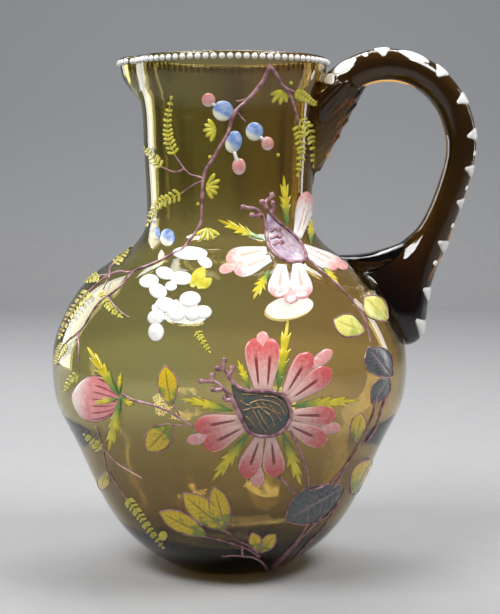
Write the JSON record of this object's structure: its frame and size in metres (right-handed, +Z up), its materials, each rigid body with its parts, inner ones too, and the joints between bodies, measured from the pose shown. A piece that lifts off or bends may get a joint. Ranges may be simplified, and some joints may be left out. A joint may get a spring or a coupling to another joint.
{
  "type": "lemonade jug",
  "caption": "Bulbous amber glass jug with a pinched spout, an applied handle and raised floral enamel, open at the top.",
  "frame": {"origin": "centre of the flat ground foot that the jug stands on", "axes": "+Z up the jug, +X towards the handle, -X towards the spout, -Y towards the painted front"},
  "size_m": [0.2007, 0.1682, 0.2455],
  "materials": {
    "amber_glass": "clear olive-amber blown glass, fire polished",
    "white_enamel": "raised white enamel, glossy",
    "plum_enamel": "raised plum enamel line, satin",
    "fern_enamel": "yellow-green enamel, satin",
    "blue_enamel": "pale blue enamel shaded to white",
    "pink_enamel": "pink enamel shaded to white",
    "yellow_enamel": "ochre yellow enamel shaded to green",
    "dark_enamel": "dark teal enamel with a fine gilt drawing"
  },
  "bodies": {
    "root": {"glass_body": "amber_glass", "handle": "amber_glass", "handle_marks": "white_enamel", "rim_beads": "white_enamel", "neck_branch": "plum_enamel", "shoulder_branches": "plum_enamel", "flower_stems": "plum_enamel", "lower_branches": "plum_enamel", "neck_ferns": "fern_enamel", "shoulder_ferns": "fern_enamel", "leaf_fans": "fern_enamel", "blue_berries": "blue_enamel", "pink_berries": "pink_enamel", "white_blossom": "white_enamel", "pale_leaves": "yellow_enamel", "upper_flower_petals": "pink_enamel", "upper_flower_sepals": "fern_enamel", "upper_flower_heart": "dark_enamel", "lower_flower_petals": "pink_enamel", "lower_flower_sepals": "fern_enamel", "lower_flower_heart": "dark_enamel", "bud_petals": "pink_enamel", "bud_calyx": "fern_enamel", "yellow_leaves": "yellow_enamel", "dark_leaves": "dark_enamel", "base_leaves": "yellow_enamel", "enamel_dots": "yellow_enamel"}
  },
  "joints": []
}
